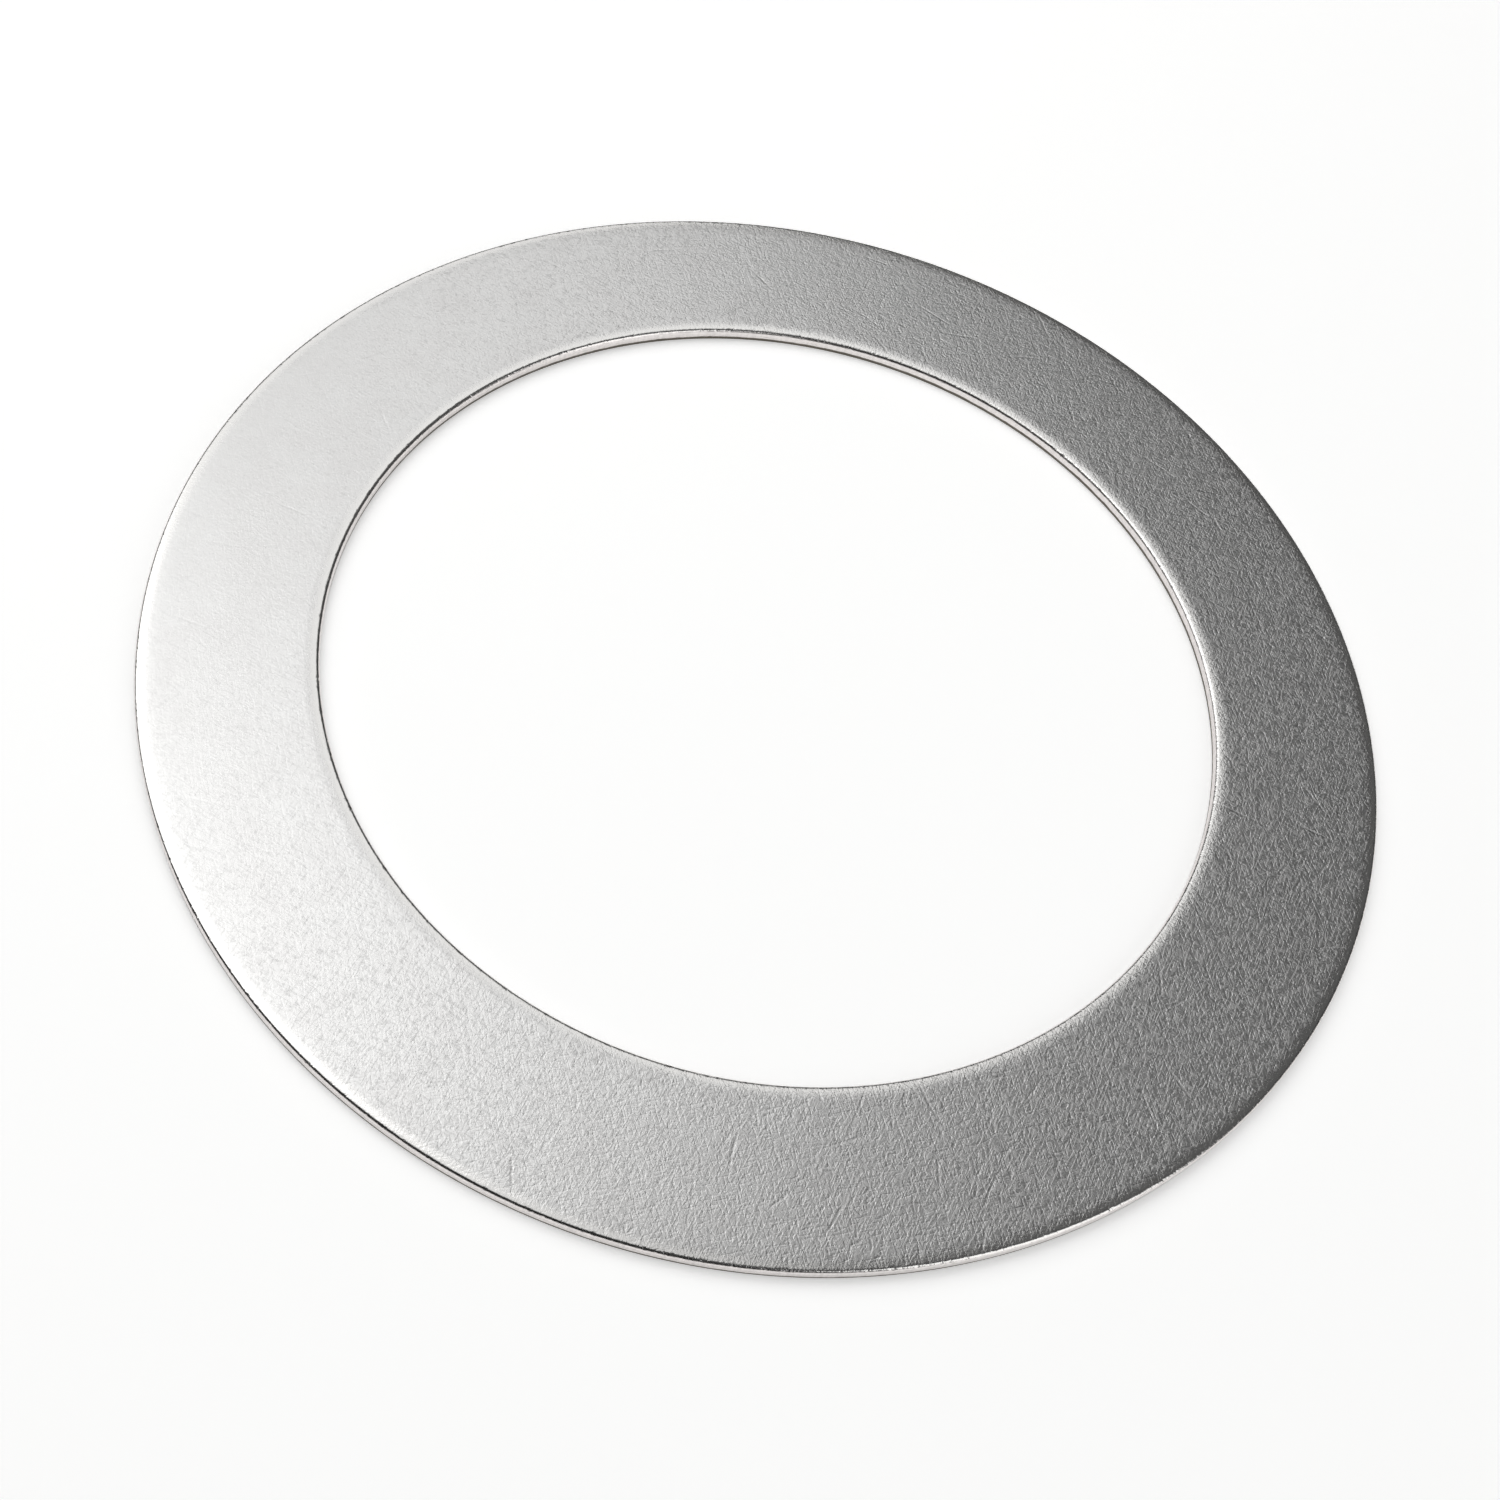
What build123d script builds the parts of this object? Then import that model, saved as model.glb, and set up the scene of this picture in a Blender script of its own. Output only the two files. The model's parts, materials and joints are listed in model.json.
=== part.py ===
from build123d import *
import os

# Shim ring: a thin flat spacing ring, blanked from cold-rolled steel strip in one stroke and then tumbled.
#
# It lies on its burr side, centred on +Z, with its lower face at z = 0. The stroke cuts the rim and the bore
# from the same side, so both edges roll over on the upper face and both burrs are on the lower one. Each cut
# edge has the same form, from the upper face down: a wide shallow roll-over, a rounded corner, a straight
# burnished land, a fracture that leans into the ring, and a lower corner where the burr was.

# Driving dimensions, in millimetres. The ring is a nominal 30 x 42: its bore is cut a little large and its
# rim a little small, for clearance on the shaft and in the housing.
outer_diameter = 41.70
bore_diameter = 30.25
thickness = 0.50

# The roll-over of each edge, in millimetres: how far from the wall the upper face starts to fall away, how
# far it would have fallen at the wall if the corner there were sharp, and the radius of that corner.
# Punching the bore drags its edge down further than blanking does the rim.
bore_roll_over_width = 0.55
bore_roll_over_depth = 0.05
bore_corner_radius = 0.14
rim_roll_over_width = 0.70
rim_roll_over_depth = 0.03
rim_corner_radius = 0.12

# The lower part of both walls, in millimetres.
fracture_height = 0.16  # the torn part of the wall, above the lower face
fracture_lean = 0.015  # how far the torn part leans into the ring by the lower face
lower_corner_radius = 0.05  # what tumbling left where the burr was


def cut_edge(wall_radius, into_ring, roll_over_width, roll_over_depth):
    """The line of one cut edge, from the upper face down; into_ring is 1 at the bore and -1 at the rim."""
    shoulder = (wall_radius + into_ring * roll_over_width, thickness)
    upper_corner = (wall_radius, thickness - roll_over_depth)
    land_foot = (wall_radius, fracture_height)
    lower_corner = (wall_radius + into_ring * fracture_lean, 0)
    roll_over = TangentArc(shoulder, upper_corner, tangent=(-into_ring, 0))
    return roll_over, Line(upper_corner, land_foot), Line(land_foot, lower_corner)


def ring_section():
    """The section of the ring on one side of its axis, with the radius along X and the height along Y."""
    bore = cut_edge(bore_diameter / 2, 1, bore_roll_over_width, bore_roll_over_depth)
    rim = cut_edge(outer_diameter / 2, -1, rim_roll_over_width, rim_roll_over_depth)
    upper_face = Line(bore[0] @ 0, rim[0] @ 0)
    lower_face = Line(bore[-1] @ 1, rim[-1] @ 1)
    section = make_face([*bore, *rim, upper_face, lower_face])
    for roll_over, radius in ((bore[0], bore_corner_radius), (rim[0], rim_corner_radius)):
        upper_corner = section.vertices().sort_by_distance(roll_over @ 1)[0]
        section = fillet(upper_corner, radius)
    lower_corners = section.vertices().group_by(Axis.Y)[0]
    return fillet(lower_corners, lower_corner_radius)


def shim_ring():
    """The whole ring: the section turned once about the axis of the bore."""
    return revolve(Plane.XZ * ring_section(), Axis.Z)


os.makedirs("parts", exist_ok=True)
export_step(shim_ring(), "parts/shim_ring.step")
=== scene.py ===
import json
import math

import bmesh
import bpy
from mathutils import Matrix, Vector


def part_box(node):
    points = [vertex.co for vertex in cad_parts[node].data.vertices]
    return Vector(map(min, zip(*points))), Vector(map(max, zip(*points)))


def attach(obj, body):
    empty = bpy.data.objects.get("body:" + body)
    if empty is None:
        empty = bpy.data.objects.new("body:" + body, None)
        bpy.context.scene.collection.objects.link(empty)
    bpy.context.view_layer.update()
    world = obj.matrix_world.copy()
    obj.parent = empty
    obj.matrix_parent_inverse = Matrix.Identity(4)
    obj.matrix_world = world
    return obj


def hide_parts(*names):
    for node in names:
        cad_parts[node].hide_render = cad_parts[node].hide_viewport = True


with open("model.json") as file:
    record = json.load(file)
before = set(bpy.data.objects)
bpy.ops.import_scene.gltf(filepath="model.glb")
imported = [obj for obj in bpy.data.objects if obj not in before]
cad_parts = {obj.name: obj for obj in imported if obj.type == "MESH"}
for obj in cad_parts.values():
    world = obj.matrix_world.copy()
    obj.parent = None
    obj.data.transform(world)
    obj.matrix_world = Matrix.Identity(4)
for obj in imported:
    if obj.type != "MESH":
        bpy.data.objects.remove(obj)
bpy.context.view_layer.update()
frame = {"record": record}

mm = 0.001
scene = bpy.context.scene


def toLinear(hexColour):
    # sRGB hex, as a colour picker gives it, to the linear colour that the shaders take
    channels = [int(hexColour[i:i + 2], 16) / 255 for i in (1, 3, 5)]
    linear = [c / 12.92 if c <= 0.04045 else ((c + 0.055) / 1.055) ** 2.4 for c in channels]
    return (*linear, 1.0)


def addNode(tree, kind, inputs=None, **settings):
    # One node with its settings, and its inputs set or linked; a node links its first output.
    # Inputs go by name or by place. Map Range has its value at 0, the range it reads at 1 and 2,
    # and the range it gives at 3 and 4. Mix has its factor at 0, its numbers at 2 and 3 and its
    # colours at 6 and 7, and gives a colour at its output 2.
    node = tree.nodes.new(kind)
    for name, value in settings.items():
        setattr(node, name, value)
    for name, value in (inputs or {}).items():
        if isinstance(value, bpy.types.Node):
            value = value.outputs[0]
        if isinstance(value, bpy.types.NodeSocket):
            tree.links.new(value, node.inputs[name])
        else:
            node.inputs[name].default_value = value
    return node


# The ring itself. Sizes are in mm; the outside radius, the bore and the thickness come from
# the frame.
ringShape = {
    "bore": {"rollOverWidth": 0.55, "rollOverDepth": 0.05, "cornerRadius": 0.14},
    "rim": {"rollOverWidth": 0.70, "rollOverDepth": 0.03, "cornerRadius": 0.12},
    "fractureHeight": 0.16,      # the torn third of the cut, under the burnished land
    "fractureLean": 0.015,
    "lowerCornerRadius": 0.05,
    "facesRound": 480,
    "rollOverSteps": 12,
    "cornerSteps": 10,
    "lowerCornerSteps": 6,
}
seamGap = 1e-7                   # metres; points that lie closer than this are one


def boreRadius():
    # from the bore's mount in the frame
    boreMount = next(m for m in frame["record"]["mounts"] if m["name"] == "bore")
    return boreMount["dims"]["r_mm"] * mm


def straightTo(bm, vert, place):
    # draws the section on to a new vertex
    new = bmesh.ops.extrude_vert_indiv(bm, verts=[vert])["verts"][0]
    new.co = place
    return new


def arcFrom(bm, vert, centre, angle, steps):
    # draws the section on round an arc, and gives the arc's last vertex
    swept = bmesh.ops.spin(bm, geom=[vert], cent=centre, axis=(0, 1, 0), angle=angle,
                           steps=steps, use_merge=False, use_duplicate=False)
    return swept["geom_last"][0]


def cutEdge(bm, side, wall, thickness, edge, shape):
    # one cut edge of the section, from the shoulder on the upper face down to the lower face;
    # side is 1 where the wall faces outwards (rim) and -1 where it faces the axis (bore)
    width = edge["rollOverWidth"] * mm
    depth = edge["rollOverDepth"] * mm
    corner = edge["cornerRadius"] * mm
    fracture = shape["fractureHeight"] * mm
    lean = shape["fractureLean"] * mm
    lower = shape["lowerCornerRadius"] * mm

    # roll-over: a wide shallow arc that leaves the upper face without a crease
    rollRadius = (width ** 2 + depth ** 2) / (2 * depth)
    rollCentre = Vector((wall - side * width, 0, thickness - rollRadius))
    rollAngle = math.asin((width - corner) / (rollRadius - corner))
    shoulder = bmesh.ops.create_vert(bm, co=rollCentre + Vector((0, 0, rollRadius)))["vert"][0]
    rollEnd = arcFrom(bm, shoulder, rollCentre, side * rollAngle, shape["rollOverSteps"])

    # the corner, rounded by tumbling, runs on from it to the upright land
    cornerRise = math.sqrt((rollRadius - corner) ** 2 - (width - corner) ** 2)
    cornerCentre = Vector((wall - side * corner, 0, rollCentre.z + cornerRise))
    landTop = arcFrom(bm, rollEnd, cornerCentre, side * (math.pi / 2 - rollAngle), shape["cornerSteps"])

    # land, torn zone leaning back under it, and the small lower corner
    landFoot = straightTo(bm, landTop, Vector((wall, 0, fracture)))
    leanAngle = math.atan(lean / fracture)
    lowerX = wall - side * (lean * (fracture - lower) / fracture + lower / math.cos(leanAngle))
    lowerCentre = Vector((lowerX, 0, lower))
    tornFoot = lowerCentre + lower * Vector((side * math.cos(leanAngle), 0, -math.sin(leanAngle)))
    tornEnd = straightTo(bm, landFoot, tornFoot)
    foot = arcFrom(bm, tornEnd, lowerCentre, side * (math.pi / 2 - leanAngle), shape["lowerCornerSteps"])
    return shoulder, foot


def makeRing(name, shape):
    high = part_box("shim_ring")[1]
    rimRadius, thickness = high.x, high.z

    bm = bmesh.new()
    boreShoulder, boreFoot = cutEdge(bm, -1, boreRadius(), thickness, shape["bore"], shape)
    rimShoulder, rimFoot = cutEdge(bm, 1, rimRadius, thickness, shape["rim"], shape)
    bmesh.ops.contextual_create(bm, geom=[boreShoulder, rimShoulder])
    bmesh.ops.contextual_create(bm, geom=[boreFoot, rimFoot])

    # the closed section goes once round the axis
    bmesh.ops.spin(bm, geom=bm.verts[:] + bm.edges[:], cent=(0, 0, 0), axis=(0, 0, 1),
                   angle=2 * math.pi, steps=shape["facesRound"], use_merge=True, use_duplicate=False)
    bmesh.ops.remove_doubles(bm, verts=bm.verts[:], dist=seamGap)
    bmesh.ops.recalc_face_normals(bm, faces=bm.faces[:])

    mesh = bpy.data.meshes.new(name)
    bm.to_mesh(mesh)
    bm.free()
    mesh.shade_smooth()
    ring = bpy.data.objects.new(name, mesh)
    scene.collection.objects.link(ring)
    flat = ring.modifiers.new("flatFaces", "WEIGHTED_NORMAL")  # keeps the two broad faces flat
    flat.mode = "FACE_AREA"
    flat.weight = 100
    return ring


shimRing = makeRing("shimRing", ringShape)
print("ring:", len(shimRing.data.vertices), "vertices", len(shimRing.data.polygons), "faces")


# Cold-rolled strip steel, blanked and then tumbled with ceramic stones. The eye sees a satin
# grey mirror of the room, softened by countless short curved scratches that lie every way.
#
# Sizes are in mm. A pair runs from where a look starts to where it is full: reach is in from the
# nearer wall, above is up from the lower face, and levels are values of the pattern's noise.
steelLook = {
    "steel": "#c4c4c3",
    "stain": "#bdbcbb",
    "faceRoughness": 0.30,
    "smoothest": 0.28,           # the least roughness that a mark leaves on the face
    # the corners are rubbed smooth; the land under them is burnished bright by the punch, and under that
    # the steel tore away and stayed rough and dull; the torn zone's dark colour is partly that dull
    # steel and partly painted shade at the wall's foot
    "corner": {"colour": "#cccbc9", "roughness": 0.20, "reach": (0.46, 0.12), "above": (0.15, 0.35),
               "marksLeft": 0.5},
    "wallReach": (0.06, 0.02),
    "land": {"colour": "#ebe6e4", "roughness": 0.30, "streak": 0.10, "tallness": 10.0,
             "streakTone": 0.10, "levels": (0.3, 0.7)},
    # torn zone colour: partly dull torn steel, partly painted shade, a dark band where the contact
    # shadow falls at the wall's foot
    "torn": {"colour": "#6c675f", "roughness": 0.50, "ragged": 0.04, "patch": 0.45, "edge": 0.01},
    "nicks": {"cell": 0.20, "depth": 0.006, "reach": (0.16, 0.05), "levels": (0.52, 0.70)},
    # One mark lies in each cell. Its length and width run from its middle to its end and its
    # side, depth is how deep it goes, and bend is how much it bows. Real scratches are often
    # finer than 0.03 mm, so marks and strokes are drawn coarser, as they need to be to show.
    "marks": [
        {"cell": 0.30, "length": 0.22, "width": 0.055, "weight": 2.8, "depth": 0.0028,
         "bend": 1.4, "turn": 1.3},
        {"cell": 0.48, "length": 0.36, "width": 0.060, "weight": 2.8, "depth": 0.0034,
         "bend": 0.8, "turn": 2.2},
        {"cell": 1.70, "length": 1.10, "width": 0.070, "weight": 3.4, "depth": 0.0085,
         "bend": 0.1, "turn": 3.1},
    ],
    "strokes": {"length": 0.42, "width": 0.075, "wander": 0.4, "weight": 2.3, "levels": (0.50, 0.68),
                "headings": (0.25, 1.05, 1.75, 2.65)},  # radians
    "grain": 0.18,
    "grainWeight": 3.4,
    # what one step of rubbing does: height, roughness, and share of the steel's colour
    "rubHeight": 0.0008,
    "rubRoughness": 0.050,
    "rubTone": 0.004,
    # the marks lie thicker towards one side, this many degrees round; least and most share of them
    "wear": {"towards": 15, "least": 0.22, "most": 1.75},
    "cloud": 1.3,                # soft patches where the stones rubbed more
    "cloudHeight": 0.003,
}


def fineStrokes(tree, place, look):
    # the finest scratches: crossed fields of noise, each drawn out along its own heading, where
    # every other field is pale and the rest dull, over an even grain
    strokes = look["strokes"]
    grain = addNode(tree, "ShaderNodeTexNoise",
                    {"Vector": place, "Scale": 1 / look["grain"], "Detail": 3.0, "Roughness": 0.6},
                    noise_dimensions="2D")
    total = addNode(tree, "ShaderNodeMapRange",
                    {0: grain.outputs["Fac"], 3: -look["grainWeight"], 4: look["grainWeight"]})
    stretch = (1 / strokes["length"], 1 / strokes["width"], 1.0)
    starts, full = strokes["levels"]
    weight = strokes["weight"]
    for heading in strokes["headings"]:
        turned = addNode(tree, "ShaderNodeVectorRotate", {"Vector": place, "Angle": heading},
                         rotation_type="Z_AXIS")
        drawnOut = addNode(tree, "ShaderNodeVectorMath", {0: turned, 1: stretch}, operation="MULTIPLY")
        field = addNode(tree, "ShaderNodeTexNoise",
                        {"Vector": drawnOut, "Scale": 1.0, "Detail": 1.0, "Roughness": 0.4,
                         "Distortion": strokes["wander"]}, noise_dimensions="2D")
        crest = addNode(tree, "ShaderNodeMapRange",
                        {0: field.outputs["Fac"], 1: starts, 2: full, 3: 0.0, 4: weight},
                        interpolation_type="SMOOTHSTEP")
        total = addNode(tree, "ShaderNodeMath", {0: total, 1: crest}, operation="ADD")
        weight = -weight
    return total


def scratchMarks(tree, place, marks):
    # one layer of short curved marks, one in each cell, turned every way
    turned = addNode(tree, "ShaderNodeVectorRotate", {"Vector": place, "Angle": marks["turn"]},
                     rotation_type="Z_AXIS")
    cell = addNode(tree, "ShaderNodeTexVoronoi", {"Vector": turned, "Scale": 1 / marks["cell"]},
                   voronoi_dimensions="2D", feature="F1")
    fromCentre = addNode(tree, "ShaderNodeVectorMath", {0: turned, 1: cell.outputs["Position"]},
                         operation="SUBTRACT")
    chance = addNode(tree, "ShaderNodeSeparateColor", {0: cell.outputs["Color"]})
    heading = addNode(tree, "ShaderNodeMath", {0: chance.outputs[0], 1: 2 * math.pi},
                      operation="MULTIPLY")
    along = addNode(tree, "ShaderNodeVectorRotate", {"Vector": fromCentre, "Angle": heading},
                    rotation_type="Z_AXIS")
    axes = addNode(tree, "ShaderNodeSeparateXYZ", {0: along})

    # the mark bows to one side or the other, and fades out at its sides and its ends
    bow = addNode(tree, "ShaderNodeMapRange",
                  {0: chance.outputs[1], 3: -marks["bend"], 4: marks["bend"]})
    square = addNode(tree, "ShaderNodeMath", {0: axes.outputs[0], 1: axes.outputs[0]},
                     operation="MULTIPLY")
    across = addNode(tree, "ShaderNodeMath", {0: square, 1: bow, 2: axes.outputs[1]},
                     operation="MULTIPLY_ADD")
    offLine = addNode(tree, "ShaderNodeMath", {0: across}, operation="ABSOLUTE")
    groove = addNode(tree, "ShaderNodeMapRange", {0: offLine, 1: 0.0, 2: marks["width"], 3: 1.0, 4: 0.0},
                     interpolation_type="SMOOTHSTEP")
    offEnd = addNode(tree, "ShaderNodeMath", {0: axes.outputs[0]}, operation="ABSOLUTE")
    taper = addNode(tree, "ShaderNodeMapRange", {0: offEnd, 1: 0.0, 2: marks["length"], 3: 1.0, 4: 0.0},
                    interpolation_type="SMOOTHSTEP")
    shaped = addNode(tree, "ShaderNodeMath", {0: groove, 1: taper}, operation="MULTIPLY")

    # some rub pale and some dull; a few are ploughed deep, and most barely touch
    weight = addNode(tree, "ShaderNodeMapRange",
                     {0: chance.outputs[2], 3: -marks["weight"], 4: marks["weight"]})
    rubbed = addNode(tree, "ShaderNodeMath", {0: shaped, 1: weight}, operation="MULTIPLY")
    few = addNode(tree, "ShaderNodeMath", {0: chance.outputs[2], 1: 2.0}, operation="POWER")
    depth = addNode(tree, "ShaderNodeMath", {0: few, 1: -marks["depth"]}, operation="MULTIPLY")
    ploughed = addNode(tree, "ShaderNodeMath", {0: shaped, 1: depth}, operation="MULTIPLY")
    return rubbed, ploughed


def cutZones(tree, place, look, shape):
    # where a point lies on the cut edges: mm in from the nearer wall, and how far it belongs to
    # the rubbed corner, to the wall, and to the torn zone, each from 0 to 1; the torn zone's colour is
    # partly painted shade at the wall's foot
    rim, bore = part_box("shim_ring")[1].x / mm, boreRadius() / mm
    axes = addNode(tree, "ShaderNodeSeparateXYZ", {0: place})
    flat = addNode(tree, "ShaderNodeCombineXYZ", {0: axes.outputs[0], 1: axes.outputs[1]})
    radius = addNode(tree, "ShaderNodeVectorMath", {0: flat}, operation="LENGTH")
    offMiddle = addNode(tree, "ShaderNodeMath", {0: radius.outputs["Value"], 1: (rim + bore) / 2},
                        operation="SUBTRACT")
    offMiddle = addNode(tree, "ShaderNodeMath", {0: offMiddle}, operation="ABSOLUTE")
    inwards = addNode(tree, "ShaderNodeMath", {0: (rim - bore) / 2, 1: offMiddle},
                      operation="SUBTRACT")

    starts, full = look["corner"]["above"]
    upper = addNode(tree, "ShaderNodeMapRange", {0: axes.outputs[2], 1: starts, 2: full},
                    interpolation_type="SMOOTHSTEP")
    starts, full = look["corner"]["reach"]
    nearWall = addNode(tree, "ShaderNodeMapRange", {0: inwards, 1: starts, 2: full},
                       interpolation_type="SMOOTHSTEP")
    nearWall = addNode(tree, "ShaderNodeMath", {0: nearWall, 1: upper}, operation="MULTIPLY")
    starts, full = look["wallReach"]
    onWall = addNode(tree, "ShaderNodeMapRange", {0: inwards, 1: starts, 2: full},
                     interpolation_type="SMOOTHSTEP")

    # the torn zone's upper edge wanders up and down
    torn = look["torn"]
    patch = addNode(tree, "ShaderNodeTexNoise",
                    {"Vector": place, "Scale": 1 / torn["patch"], "Detail": 3.0, "Roughness": 0.6})
    lift = addNode(tree, "ShaderNodeMapRange",
                   {0: patch.outputs["Fac"], 3: -torn["ragged"], 4: torn["ragged"]})
    raggedHeight = addNode(tree, "ShaderNodeMath", {0: axes.outputs[2], 1: lift}, operation="ADD")
    fracture = shape["fractureHeight"]
    inTornAndFootShade = addNode(tree, "ShaderNodeMapRange",
                     {0: raggedHeight, 1: fracture + torn["edge"], 2: fracture - torn["edge"]},
                     interpolation_type="SMOOTHSTEP")
    return inwards, nearWall, onWall, inTornAndFootShade


def wearShare(tree, place, look, nearWall):
    # the share of the marks that a point carries: more towards one side, and fewer by the corners
    towards = math.radians(look["wear"]["towards"])
    side = addNode(tree, "ShaderNodeVectorMath",
                   {0: place, 1: (math.cos(towards), math.sin(towards), 0)}, operation="DOT_PRODUCT")
    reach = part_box("shim_ring")[1].x / mm
    wear = addNode(tree, "ShaderNodeMapRange",
                   {0: side.outputs["Value"], 1: -reach, 2: reach,
                    3: look["wear"]["least"], 4: look["wear"]["most"]})
    kept = addNode(tree, "ShaderNodeMapRange", {0: nearWall, 3: 1.0, 4: look["corner"]["marksLeft"]},
                   interpolation_type="SMOOTHSTEP")
    return addNode(tree, "ShaderNodeMath", {0: wear, 1: kept}, operation="MULTIPLY")


def rubbedFace(tree, place, look, cloud, wear):
    # how much each point was rubbed, where 0 is the bare surface, and how high it stands in mm:
    # the fine strokes first, then each layer of marks on top of them
    rub = fineStrokes(tree, place, look)
    height = addNode(tree, "ShaderNodeMath", {0: cloud, 1: look["cloudHeight"]}, operation="MULTIPLY")
    for marks in look["marks"]:
        rubbed, ploughed = scratchMarks(tree, place, marks)
        rub = addNode(tree, "ShaderNodeMath", {0: rub, 1: rubbed}, operation="ADD")
        height = addNode(tree, "ShaderNodeMath", {0: height, 1: ploughed}, operation="ADD")
    rub = addNode(tree, "ShaderNodeMath", {0: rub, 1: wear}, operation="MULTIPLY")
    height = addNode(tree, "ShaderNodeMath", {0: height, 1: wear}, operation="MULTIPLY")
    height = addNode(tree, "ShaderNodeMath", {0: rub, 1: look["rubHeight"], 2: height},
                     operation="MULTIPLY_ADD")
    return rub, height


def cutNicks(tree, place, nicks, inwards, height):
    # small nicks along the corners
    noise = addNode(tree, "ShaderNodeTexNoise",
                    {"Vector": place, "Scale": 1 / nicks["cell"], "Detail": 2.0})
    starts, full = nicks["levels"]
    nicked = addNode(tree, "ShaderNodeMapRange",
                     {0: noise.outputs["Fac"], 1: starts, 2: full, 3: 0.0, 4: -nicks["depth"]},
                     interpolation_type="SMOOTHSTEP")
    starts, full = nicks["reach"]
    byCorner = addNode(tree, "ShaderNodeMapRange", {0: inwards, 1: starts, 2: full},
                       interpolation_type="SMOOTHSTEP")
    nicked = addNode(tree, "ShaderNodeMath", {0: nicked, 1: byCorner}, operation="MULTIPLY")
    return addNode(tree, "ShaderNodeMath", {0: height, 1: nicked}, operation="ADD")


def faceFinish(tree, look, cloud, rub):
    # where the steel was rubbed most it is rougher and paler, and where least, smoother and duller
    roughness = addNode(tree, "ShaderNodeMath",
                        {0: rub, 1: look["rubRoughness"], 2: look["faceRoughness"]},
                        operation="MULTIPLY_ADD")
    roughness = addNode(tree, "ShaderNodeMath", {0: roughness, 1: look["smoothest"]},
                        operation="MAXIMUM")
    tone = addNode(tree, "ShaderNodeMath", {0: rub, 1: look["rubTone"], 2: 1.0},
                   operation="MULTIPLY_ADD")
    colour = addNode(tree, "ShaderNodeMix",
                     {0: cloud, 6: toLinear(look["steel"]), 7: toLinear(look["stain"])},
                     data_type="RGBA")
    toned = addNode(tree, "ShaderNodeVectorMath", {0: colour.outputs[2], "Scale": tone},
                    operation="SCALE")
    return toned, roughness


def wallLookAndFootShade(tree, place, look, inTornAndFootShade):
    # the land carries upright streaks, and the torn zone under it is plain and dull; its dark colour is
    # partly dull torn steel and partly painted shade along the foot of the wall
    land, torn = look["land"], look["torn"]
    upright = addNode(tree, "ShaderNodeVectorMath", {0: place, 1: (1.0, 1.0, 1 / land["tallness"])},
                      operation="MULTIPLY")
    streaks = addNode(tree, "ShaderNodeTexNoise",
                      {"Vector": upright, "Scale": 1 / land["streak"], "Detail": 2.0})
    starts, full = land["levels"]
    tone = addNode(tree, "ShaderNodeMapRange",
                   {0: streaks.outputs["Fac"], 1: starts, 2: full, 3: 1.0 - land["streakTone"], 4: 1.0},
                   interpolation_type="SMOOTHSTEP")
    landColour = addNode(tree, "ShaderNodeVectorMath",
                         {0: toLinear(land["colour"])[:3], "Scale": tone}, operation="SCALE")
    # painted shade: the torn zone's dark colour darkens the foot of the wall, partly for the dull torn
    # steel and partly for the contact shadow there
    colour = addNode(tree, "ShaderNodeMix", {0: inTornAndFootShade, 6: landColour, 7: toLinear(torn["colour"])},
                     data_type="RGBA")
    roughness = addNode(tree, "ShaderNodeMapRange",
                        {0: inTornAndFootShade, 3: land["roughness"], 4: torn["roughness"]},
                        interpolation_type="SMOOTHSTEP")
    return colour.outputs[2], roughness


def tumbledSteel(look, shape):
    steel = bpy.data.materials.new("tumbledSteel")
    steel.use_nodes = True
    tree = steel.node_tree
    tree.nodes.clear()
    coords = addNode(tree, "ShaderNodeTexCoord")
    place = addNode(tree, "ShaderNodeVectorMath", {0: coords.outputs["Object"], "Scale": 1 / mm},
                    operation="SCALE")  # millimetres from here on
    inwards, nearWall, onWall, inTornAndFootShade = cutZones(tree, place, look, shape)
    noise = addNode(tree, "ShaderNodeTexNoise",
                    {"Vector": place, "Scale": 1 / look["cloud"], "Detail": 2.0, "Roughness": 0.5})
    cloud = noise.outputs["Fac"]

    wear = wearShare(tree, place, look, nearWall)
    rub, height = rubbedFace(tree, place, look, cloud, wear)
    height = cutNicks(tree, place, look["nicks"], inwards, height)
    bump = addNode(tree, "ShaderNodeBump", {"Height": height, "Distance": mm, "Strength": 1.0})

    # the rubbed corner lies over the face, and the wall over both
    corner = look["corner"]
    faceColour, faceRoughness = faceFinish(tree, look, cloud, rub)
    wallColour, wallRoughness = wallLookAndFootShade(tree, place, look, inTornAndFootShade)
    colour = addNode(tree, "ShaderNodeMix", {0: nearWall, 6: faceColour, 7: toLinear(corner["colour"])},
                     data_type="RGBA")
    colour = addNode(tree, "ShaderNodeMix", {0: onWall, 6: colour.outputs[2], 7: wallColour},
                     data_type="RGBA")
    roughness = addNode(tree, "ShaderNodeMix", {0: nearWall, 2: faceRoughness, 3: corner["roughness"]})
    roughness = addNode(tree, "ShaderNodeMix", {0: onWall, 2: roughness, 3: wallRoughness})
    surface = addNode(tree, "ShaderNodeBsdfPrincipled",
                      {"Base Color": colour.outputs[2], "Metallic": 1.0, "Roughness": roughness,
                       "Normal": bump})
    addNode(tree, "ShaderNodeOutputMaterial", {0: surface})
    return steel


shimRing.data.materials.append(tumbledSteel(steelLook, ringShape))
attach(shimRing, "root")
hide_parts("shim_ring")
print("tumbled steel:", len(shimRing.data.materials[0].node_tree.nodes), "nodes")


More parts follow.
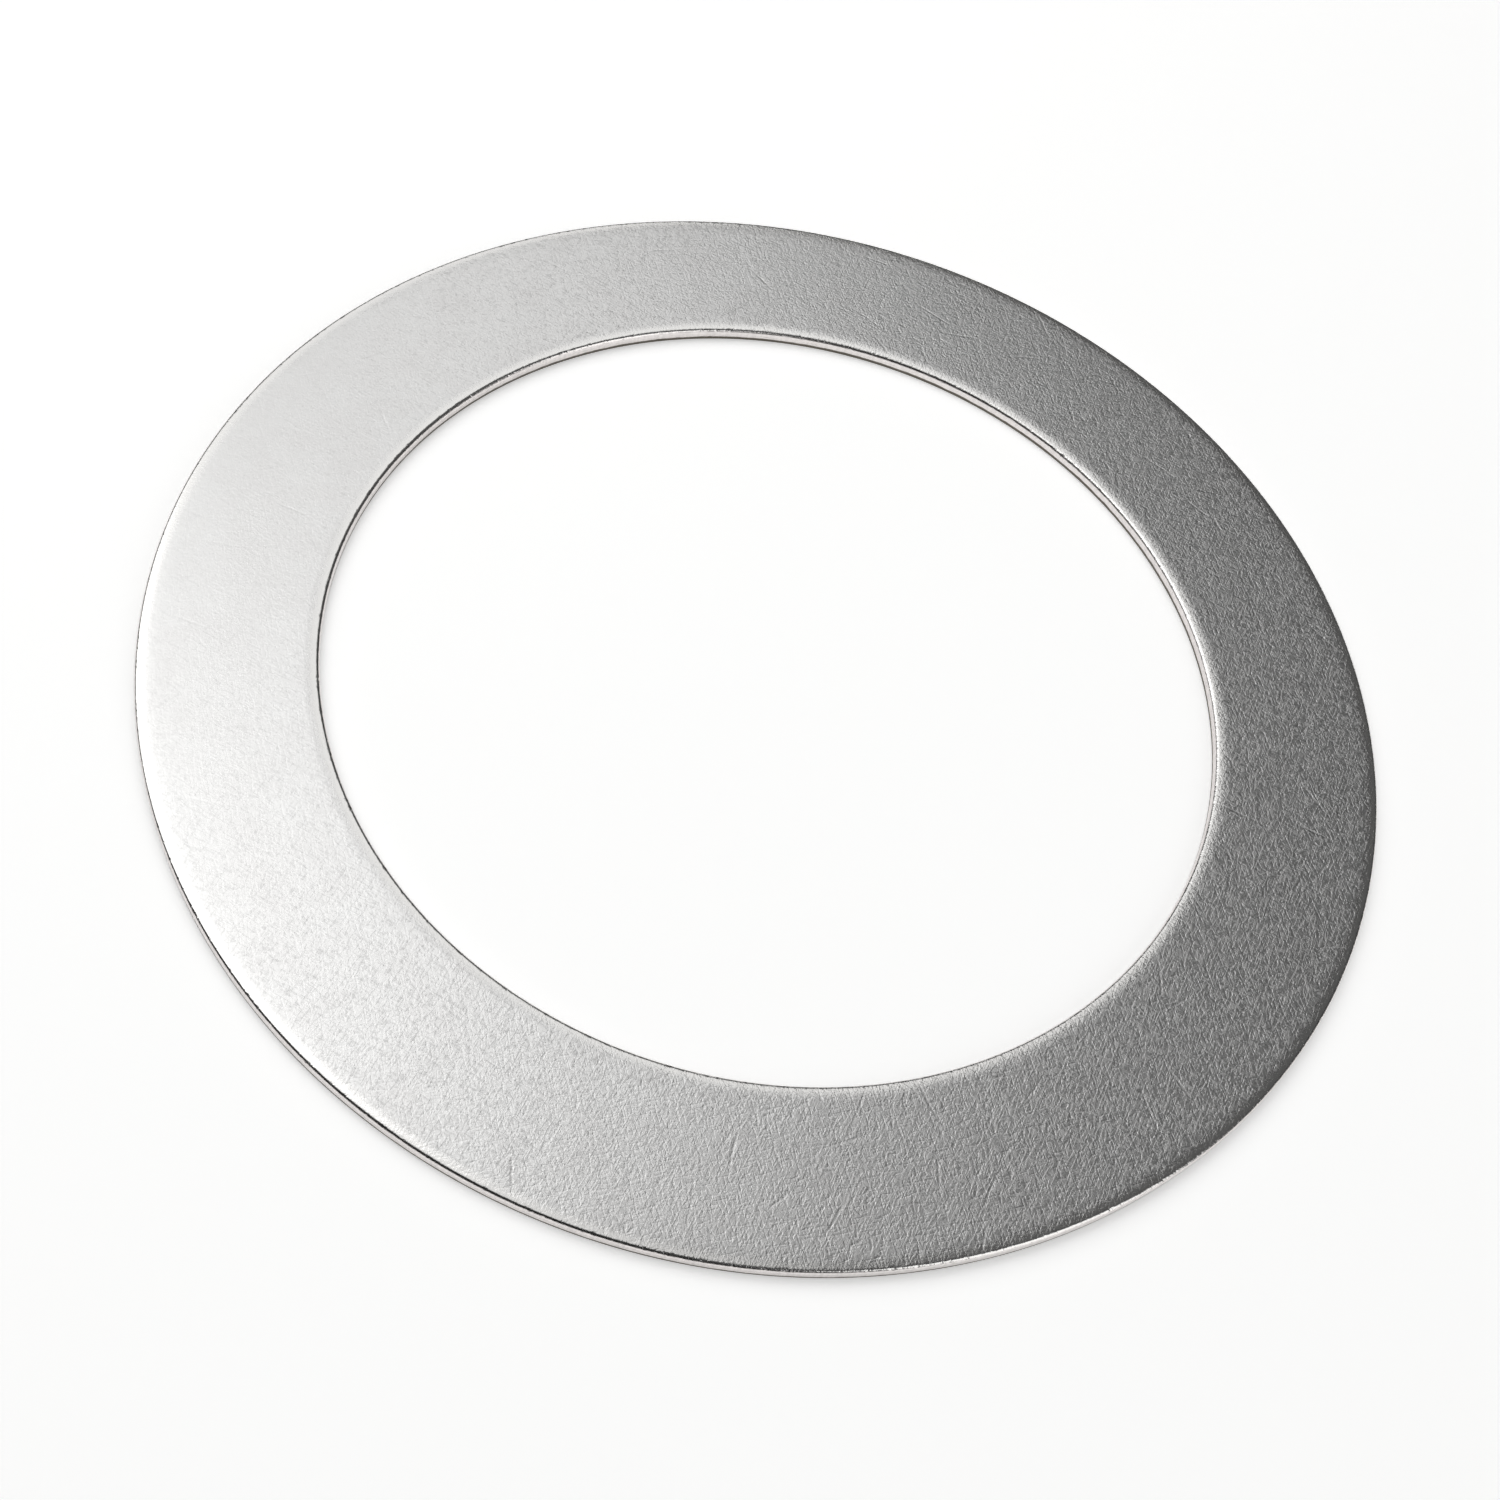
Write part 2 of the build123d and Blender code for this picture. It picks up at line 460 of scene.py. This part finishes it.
# Table, room and lights. Angles are in degrees round and above the ring, sizes in metres, and
# light is radiance, where 1 is white.
studio = {
    "tableSize": 3.0,
    "tableColour": "#f4f4f3",
    "tableGlow": 0.41,           # lifts the lit paper to a clean white where it is seen
    "roomDark": 0.004,           # the room on the camera's side
    "roomPale": 0.178,           # and on the far side
    "roomLow": 0.12,             # how much of that is left near the floor
    "roomRise": (0.10, 0.80),    # where that starts to lift, and where the room has all its light
    "softBoxes": {
        "left": {"round": 162, "up": 57.5, "away": 0.292,
                 "width": 0.224, "height": 0.452, "light": 0.95},
        "high": {"round": 136.5, "up": 53.3, "away": 0.207,
                 "width": 0.262, "height": 0.175, "light": 1.21},
        "right": {"round": -30.7, "up": 27.8, "away": 0.267,
                  "width": 0.178, "height": 0.238, "light": 1.60},
    },
}


def makeTable(look):
    bm = bmesh.new()
    bmesh.ops.create_grid(bm, x_segments=1, y_segments=1, size=look["tableSize"] / 2)
    mesh = bpy.data.meshes.new("table")
    bm.to_mesh(mesh)
    bm.free()
    table = bpy.data.objects.new("table", mesh)
    scene.collection.objects.link(table)

    paper = bpy.data.materials.new("whitePaper")
    paper.use_nodes = True
    tree = paper.node_tree
    tree.nodes.clear()
    lit = addNode(tree, "ShaderNodeBsdfDiffuse", {"Color": toLinear(look["tableColour"])})
    ray = addNode(tree, "ShaderNodeLightPath")
    seen = addNode(tree, "ShaderNodeMath",
                   {0: ray.outputs["Is Camera Ray"], 1: ray.outputs["Is Glossy Ray"]},
                   operation="MAXIMUM")
    seen = addNode(tree, "ShaderNodeMath", {0: seen, 1: ray.outputs["Is Transmission Ray"]},
                   operation="MAXIMUM")
    lift = addNode(tree, "ShaderNodeMath", {0: seen, 1: look["tableGlow"]}, operation="MULTIPLY")
    glow = addNode(tree, "ShaderNodeEmission", {"Strength": lift})
    both = addNode(tree, "ShaderNodeAddShader", {0: lit, 1: glow})
    addNode(tree, "ShaderNodeOutputMaterial", {0: both})
    mesh.materials.append(paper)


def softBox(name, box):
    # a rectangle of even light that faces the ring
    light = bpy.data.lights.new(name, "AREA")
    light.shape = "RECTANGLE"
    light.size = box["width"]
    light.size_y = box["height"]
    light.energy = box["light"] * math.pi * box["width"] * box["height"]
    lamp = bpy.data.objects.new(name, light)
    scene.collection.objects.link(lamp)
    turn, up = math.radians(box["round"]), math.radians(box["up"])
    towards = Vector((math.cos(turn) * math.cos(up), math.sin(turn) * math.cos(up), math.sin(up)))
    lamp.location = towards * box["away"]
    lamp.rotation_euler = towards.to_track_quat("Z", "Y").to_euler()
    lamp.visible_camera = False


def makeRoom(look):
    world = bpy.data.worlds.new("room")
    world.use_nodes = True
    tree = world.node_tree
    coords = addNode(tree, "ShaderNodeTexCoord")
    sides = addNode(tree, "ShaderNodeSeparateXYZ", {0: coords.outputs["Generated"]})
    glow = addNode(tree, "ShaderNodeMapRange",
                   {0: sides.outputs[1], 1: -1.0, 2: 1.0, 3: look["roomDark"], 4: look["roomPale"]})
    starts, full = look["roomRise"]
    rise = addNode(tree, "ShaderNodeMapRange",
                   {0: sides.outputs[2], 1: starts, 2: full, 3: look["roomLow"], 4: 1.0},
                   interpolation_type="SMOOTHSTEP")
    glow = addNode(tree, "ShaderNodeMath", {0: glow, 1: rise}, operation="MULTIPLY")
    background = tree.nodes["Background"]
    background.inputs["Color"].default_value = (1, 1, 1, 1)
    tree.links.new(glow.outputs[0], background.inputs["Strength"])
    scene.world = world


makeTable(studio)
for side, box in studio["softBoxes"].items():
    softBox(side + "SoftBox", box)
makeRoom(studio)
print("lit by", len(studio["softBoxes"]), "soft boxes and the room")


cameraSet = {
    "aim": (-0.15, -3.63),       # mm, where the lens points on the upper face
    "distance": 69.3,            # mm from there
    "tilt": 34.15,               # degrees back from straight down
    "roll": 17.4,                # degrees round the line of sight
    "lens": 51.2,
}


def makeCamera(look):
    data = bpy.data.cameras.new("camera")
    data.lens = look["lens"]
    data.clip_start = mm
    camera = bpy.data.objects.new("camera", data)
    scene.collection.objects.link(camera)
    tilt = Matrix.Rotation(math.radians(look["tilt"]), 4, "X")
    roll = Matrix.Rotation(math.radians(look["roll"]), 4, "Z")
    turned = tilt @ roll
    aim = Vector((look["aim"][0] * mm, look["aim"][1] * mm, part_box("shim_ring")[1].z))
    back = turned.to_3x3() @ Vector((0, 0, 1))
    camera.matrix_world = Matrix.Translation(aim + back * look["distance"] * mm) @ turned
    scene.camera = camera


makeCamera(cameraSet)
scene.view_settings.view_transform = "Standard"
print("studio ready")
